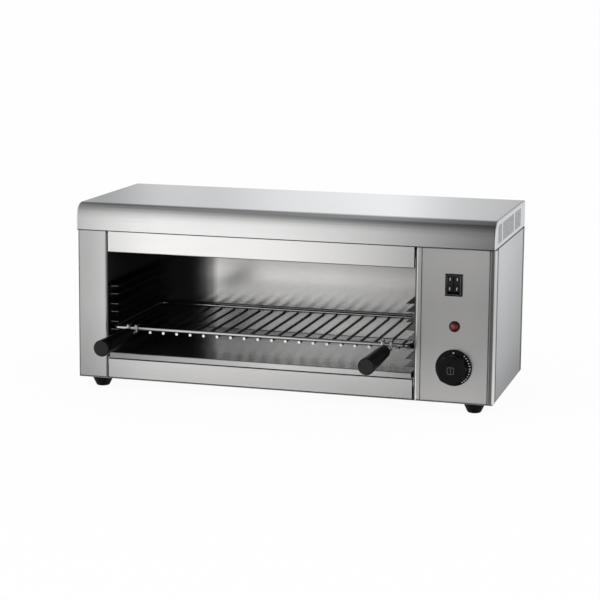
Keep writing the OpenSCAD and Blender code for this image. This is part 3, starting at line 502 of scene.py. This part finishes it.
coats = {
    "topSteel": ["cover_shell"],
    "capSteel": ["cover_end_left", "cover_end_right"],
    "railSteel": ["top_rail"],
    "lowRailSteel": ["bottom_rail"],
    "stileSteel": ["left_side_panel"],
    "sideSteel": ["right_side_panel"],
    "backSteel": ["back_panel"],
    "panelSteel": ["control_panel"],
    "baseSteel": ["bottom_plate"],
    "chamberSteel": ["chamber_floor"],
    "backWallSteel": ["chamber_back"],
    "chamberSides": ["chamber_wall_left", "chamber_wall_right"],
    "darkPaintedRoof": ["reflector"],
    "runnerSteel": ["runner_%s_%d" % (side, level) for side in ("left", "right")
                    for level in range(1, 5)],
    "traySteel": ["crumb_tray"],
    "wire": ["shelf_rim", "handle_wire_left", "handle_wire_right"],
    "rod": ["shelf_rods"],
    "zinc": ["element_hanger_left", "element_hanger_right", "timer_screws", "timer_spindle",
             "foot_screws", "foot_nuts", "back_screws"],
    "sheath": ["element_front", "element_rear"],
    "grip": ["handle_grip_left", "handle_grip_right"],
    "control": ["switch_housing", "timer_knob", "timer_dial"],
    "lampRing": ["lamp_bezel"],
    "rocker": ["rocker_left", "rocker_right"],
    "nylon": ["cable_gland", "gland_nut"],
    "cream": ["timer_body", "terminal_block"],
    "rubber": ["foot_front_left", "foot_front_right", "foot_rear_left", "foot_rear_right"],
    "lens": ["lamp_lens"],
}
for look, names in coats.items():
    for name in names:
        for slot in nodes[name].material_slots:
            slot.material = finishes[look]


def keep(mesh, name, body, look):
    # the mesh as a piece that rides on its body
    made = bpy.data.meshes.new(name)
    mesh.to_mesh(made)
    mesh.free()
    piece = bpy.data.objects.new(name, made)
    bpy.context.scene.collection.objects.link(piece)
    made.materials.append(finishes[look])
    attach(piece, body)


def turned(degrees, axis):
    return Matrix.Rotation(math.radians(degrees), 4, axis)


def slab(mesh, size, spot, turn=None):
    # box of the given size, turned and then moved in place
    made = bmesh.ops.create_cube(mesh, size=1.0, matrix=Matrix.Diagonal((*size, 1)))
    move = Matrix.Translation(spot) @ (turn or Matrix.Identity(4))
    bmesh.ops.transform(mesh, matrix=move, verts=made["verts"])


def textMesh(words, size, depth):
    # number drawn in the XZ plane, centred, facing -Y
    curve = bpy.data.curves.new("words", "FONT")
    curve.body = words
    curve.size = size
    curve.extrude = depth / 2
    curve.align_x = "CENTER"
    curve.align_y = "CENTER"
    holder = bpy.data.objects.new("words", curve)
    bpy.context.scene.collection.objects.link(holder)
    solid = bpy.data.meshes.new_from_object(holder)
    bpy.data.objects.remove(holder)
    solid.transform(turned(90, "X"))
    return solid


dialMiddle = middle("timer_dial")
switchMiddle = middle("switch_housing")

dial = {
    "markRadius": 22.7 * mm,
    "markFace": -3.95 * mm,       # outer face of the marks, from the panel
    "markDepth": 0.5 * mm,
    "numberSize": 3.4 * mm,
    "numbers": {"5": 41.0, "10": 89.0, "15": 136.0},   # degrees clockwise from the top
    "dots": [50.5, 60.0, 69.5, 79.0, 98.5, 108.0, 117.5, 127.0, 146.0],
    "dotLong": 1.5 * mm,
    "dotWide": 1.0 * mm,
    "pointer": 1.6 * mm,
    "pointerRadius": 20.8 * mm,
}


def dialMarks():
    mesh = bmesh.new()
    centre = Vector((dialMiddle.x, panelLow.y + dial["markFace"] + dial["markDepth"] / 2,
                     dialMiddle.z))
    out = Matrix.Translation((0, 0, dial["markRadius"]))
    for degrees in dial["dots"]:
        slab(mesh, (dial["dotWide"], dial["markDepth"], dial["dotLong"]), centre,
             turned(degrees, "Y") @ out)
    for words, degrees in dial["numbers"].items():
        solid = textMesh(words, dial["numberSize"], dial["markDepth"])
        solid.transform(Matrix.Translation(centre) @ turned(degrees, "Y") @ out)
        mesh.from_mesh(solid)
        bpy.data.meshes.remove(solid)
    # small pointer at the top, its tip towards the knob
    tip = bmesh.ops.create_cone(mesh, cap_ends=True, segments=3, radius1=dial["pointer"],
                                radius2=dial["pointer"], depth=dial["markDepth"])
    top = Matrix.Translation(centre + Vector((0, 0, dial["pointerRadius"])))
    bmesh.ops.transform(mesh, verts=tip["verts"],
                        matrix=top @ (turned(90, "X") @ turned(180, "Z")))
    keep(mesh, "dial_marks", "cabinet", "ink")


windowGlintLine = {
    "half": (9.5 * mm, 12.9 * mm),
    "wide": 0.4 * mm,
    "thick": 0.1 * mm,
}


def windowHighlight():
    # painted highlight: a light edge round the rockers' window, standing in for the glint on its
    # edges, twice as wide on the right
    mesh = bmesh.new()
    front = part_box("switch_housing")[0].y
    x, z = windowGlintLine["half"]
    wide, thick = windowGlintLine["wide"], windowGlintLine["thick"]
    for side, times in ((-1, 1), (1, 2)):
        upright = Vector((switchMiddle.x + side * x, front - thick / 2, switchMiddle.z))
        level = Vector((switchMiddle.x, front - thick / 2, switchMiddle.z + side * z))
        slab(mesh, (wide * times, thick, 2 * z + wide), upright)
        slab(mesh, (2 * x - 2 * wide, thick, wide), level)
    keep(mesh, "painted_window_highlight", "cabinet", "faintInkAndHighlight")


rockerBars = {
    "pivotIn": 3.6 * mm,          # behind the panel's front
    "pivotAside": 4.9 * mm,       # from the middle of the switch
    "tilt": -12.0,                # degrees, at rest
    "ridgeOut": 6.0 * mm,         # ridge between the two flat halves, from the pivot
    "slope": 12.0,                # degrees, of each half
    "out": (7.0 * mm, 6.2 * mm),  # middles of the upper and the lower bar, from the ridge
    "size": (1.2 * mm, 0.2 * mm, 3.9 * mm),
}


def rockerMarks(side, name, body):
    # a bar on each of a rocker's two flat halves
    mesh = bmesh.new()
    ridge = Vector((0, -rockerBars["ridgeOut"], 0))
    slope = math.radians(rockerBars["slope"])
    for half, out in zip((1, -1), rockerBars["out"]):
        along = Vector((0, -math.sin(slope), half * math.cos(slope)))
        slab(mesh, rockerBars["size"], ridge + along * out,
             turned(half * rockerBars["slope"], "X"))
    rest = Matrix.Translation((switchMiddle.x + side * rockerBars["pivotAside"],
                               panelLow.y + rockerBars["pivotIn"], switchMiddle.z))
    bmesh.ops.transform(mesh, verts=mesh.verts, matrix=rest @ turned(rockerBars["tilt"], "X"))
    keep(mesh, name, body, "greyInk")


sign = {
    "half": 4.8 * mm,
    "corner": 2.0 * mm,
    "line": 0.6 * mm,
    "thick": 0.1 * mm,
    "bar": 6.4 * mm,
}


def knobMark():
    # rounded square with a bar, printed on the knob's face
    mesh = bmesh.new()
    face = Vector((dialMiddle.x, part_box("timer_knob")[0].y, dialMiddle.z))
    bmesh.ops.create_grid(mesh, x_segments=1, y_segments=1, size=sign["half"])
    bmesh.ops.bevel(mesh, geom=mesh.verts[:], offset=sign["corner"], segments=5, profile=0.5,
                    affect="VERTICES", material=-1)
    inner = mesh.faces[:]
    bmesh.ops.inset_region(mesh, faces=inner, thickness=sign["line"], use_boundary=True,
                           use_even_offset=True)
    bmesh.ops.delete(mesh, geom=inner, context="FACES_ONLY")
    raised = bmesh.ops.extrude_face_region(mesh, geom=mesh.faces[:])
    corners = [item for item in raised["geom"] if isinstance(item, bmesh.types.BMVert)]
    bmesh.ops.translate(mesh, vec=(0, 0, sign["thick"]), verts=corners)
    bmesh.ops.transform(mesh, verts=mesh.verts,
                        matrix=Matrix.Translation(face) @ turned(90, "X"))
    slab(mesh, (sign["line"], sign["thick"], sign["bar"]),
         face - Vector((0, sign["thick"] / 2, 0)))
    bmesh.ops.recalc_face_normals(mesh, faces=mesh.faces)
    keep(mesh, "knob_sign", "knob", "faintInkAndHighlight")


print("marks")
dialMarks()
windowHighlight()
rockerMarks(-1, "left_rocker_marks", "left_rocker")
rockerMarks(1, "right_rocker_marks", "right_rocker")
knobMark()


floorLooks = {
    "half": 60.0,     # metres from the middle to each edge
    "paper": 0.9,
    "white": 0.95,    # share of plain white in what the camera sees
}


def layFloor():
    mesh = bmesh.new()
    bmesh.ops.create_grid(mesh, x_segments=1, y_segments=1, size=floorLooks["half"])
    made = bpy.data.meshes.new("floor")
    mesh.to_mesh(made)
    mesh.free()
    floor = bpy.data.objects.new("floor", made)
    bpy.context.scene.collection.objects.link(floor)
    sheet = newSheet("pale_floor")
    camera = sheet.add("ShaderNodeLightPath", out="Is Camera Ray")
    paper = sheet.add("ShaderNodeBsdfDiffuse", None, {"Color": grey(floorLooks["paper"])})
    white = sheet.add("ShaderNodeEmission", None, {"Color": grey(1.0), "Strength": 1.0})
    clear = sheet.add("ShaderNodeBsdfTransparent")
    seen = sheet.either(camera * floorLooks["white"], paper, white)
    both = sheet.either(camera.other("Is Glossy Ray"), seen, clear)
    made.materials.append(sheet.finish(both))


sky = {
    "diffuse": 0.85,          # level on matt surfaces
    # level seen in reflections, by the share of the direction that points right
    "frontAcross": ((-1, 0.9), (-0.6, 1.0), (-0.5, 0.6), (-0.45, 0.01), (-0.385, 0.01),
                    (-0.36, 1.48), (-0.335, 1.18), (-0.305, 0.89), (-0.275, 1.02),
                    (-0.25, 0.79), (-0.23, 0.64), (-0.21, 0.37), (-0.19, 0.13), (-0.17, 0.08),
                    (-0.15, 0.01), (-0.11, 0.05), (-0.08, 0.06), (-0.03, 0.3), (0.09, 0.32),
                    (0.17, 0.05), (0.45, 0.04), (0.7, 0.5), (1, 0.65)),
    "backAcross": ((-1, 0.7), (-0.6, 0.8), (-0.45, 0.9), (-0.4, 0.6), (-0.37, 0.3),
                   (-0.34, 0.58), (-0.31, 0.56), (-0.28, 0.71), (-0.25, 0.76), (-0.22, 0.83),
                   (-0.19, 0.57), (-0.16, 0.48), (-0.12, 0.25), (-0.06, 0.57), (0.02, 0.7),
                   (0.08, 0.45), (0.12, 0.38), (0.22, 0.38), (0.3, 0.42), (0.5, 0.7), (1, 0.5)),
    # factor on that level by the sine of the height, in front and behind
    "frontRise": ((-1, 0.25), (-0.5, 0.25), (-0.42, 1.15), (0.1, 1.13), (0.2, 1.07),
                  (0.3, 0.74), (0.4, 0.73), (0.5, 0.69), (0.62, 0.58), (0.75, 0.42),
                  (0.88, 0.33), (1, 0.15)),
    "backRise": ((-1, 0.56), (-0.4, 0.82), (-0.25, 1.05), (-0.18, 1.2), (0.2, 1.2), (0.45, 1.0),
                 (0.6, 0.9), (0.7, 0.66), (0.78, 0.6), (0.88, 0.72), (0.96, 0.69), (1, 0.67)),
    # share of the direction that points back, where the front ends and where behind starts
    "behind": (-0.3, 0.1),
    # light high on the left, over the front and the highest part behind
    "glowAcross": ((-1, 1.0), (-0.32, 1.0), (-0.28, 0.0), (1, 0.0)),
    "glowRise": ((-1, 0.0), (0.22, 0.0), (0.4, 0.11), (0.65, 0.13), (1, 0.12)),
    "glowBehind": (0.72, 0.9),
    # contrast of the level behind, and how much it grows with the height
    "contrast": (0.7, 2.4),
    "warmFront": 0.006,
    "coolBack": 0.014,
}


def hangSky():
    # white for the camera, and for reflections a level that depends on the direction
    world = bpy.data.worlds.new("studio")
    bpy.context.scene.world = world
    sheet = Sheet(world, "ShaderNodeOutputWorld")
    camera = sheet.add("ShaderNodeLightPath", out="Is Camera Ray")
    glossy = camera.other("Is Glossy Ray")
    direction = sheet.add("ShaderNodeTexCoord", out="Generated")
    x = sheet.add("ShaderNodeSeparateXYZ", None, {0: direction})
    rise = x.other("Z")
    behind = x.other("Y").stepped(*sky["behind"])
    front = sheet.graph(x, sky["frontAcross"]) * sheet.graph(rise, sky["frontRise"])
    flat, growth = sky["contrast"]
    power = sheet.maths("MAXIMUM", rise, 0.0) * growth + flat
    back = sheet.maths("POWER", sheet.graph(x, sky["backAcross"]), power)
    back = back * sheet.graph(rise, sky["backRise"])
    glow = sheet.graph(x, sky["glowAcross"]) * sheet.graph(rise, sky["glowRise"])
    glow = glow * (1 - behind * (1 - rise.stepped(*sky["glowBehind"])))
    level = behind * back + (1 - behind) * front + glow
    lit = glossy * level + (1 - glossy) * sky["diffuse"]
    shown = camera + (1 - camera) * lit
    tint = sheet.mixed(glossy * behind, grey(1.0, sky["warmFront"]), grey(1.0, -sky["coolBack"]))
    tint = sheet.mixed(sheet.maths("MAXIMUM", camera, 1 - glossy), tint, grey(1.0))
    sheet.finish(sheet.add("ShaderNodeBackground", None, {"Color": tint, "Strength": shown}))


lamps = {
    "key": {"spot": (-1.2, -1.8, 1.7), "aim": (0, 0, 0.1), "size": (1.2, 1.2), "power": 9.0},
    "fill": {"spot": (1.4, -1.4, 1.0), "aim": (0.1, 0, 0.1), "size": (1.0, 1.0), "power": 3.0},
}


def hangLamp(name, spot, aim, size, power):
    light = bpy.data.lights.new(name, "AREA")
    light.shape = "RECTANGLE"
    light.size, light.size_y = size
    light.energy = power
    lamp = bpy.data.objects.new(name, light)
    bpy.context.scene.collection.objects.link(lamp)
    lamp.location = spot
    lamp.rotation_euler = (Vector(aim) - Vector(spot)).to_track_quat("-Z", "Y").to_euler()
    lamp.visible_glossy = False


view = {
    "eye": (726.1 * mm, -2541.7 * mm, 621.3 * mm),
    "yaw": 15.778,            # degrees, as are pitch and roll
    "pitch": 9.06,
    "roll": 0.483,
    "lens": 113.55,
    "sensor": 36,
    "shiftY": -0.08,
    "farthest": 200,          # metres
}


def setCamera():
    data = bpy.data.cameras.new("camera")
    data.sensor_width = view["sensor"]
    data.lens = view["lens"]
    data.shift_y = view["shiftY"]
    data.clip_end = view["farthest"]
    camera = bpy.data.objects.new("camera", data)
    bpy.context.scene.collection.objects.link(camera)
    camera.matrix_world = (Matrix.Translation(view["eye"]) @ turned(view["yaw"], "Z")
                           @ turned(90 - view["pitch"], "X") @ turned(view["roll"], "Z"))
    bpy.context.scene.camera = camera


print("studio")
layFloor()
hangSky()
for name, lamp in lamps.items():
    hangLamp(name, **lamp)
setCamera()
bpy.context.scene.view_settings.view_transform = "Standard"
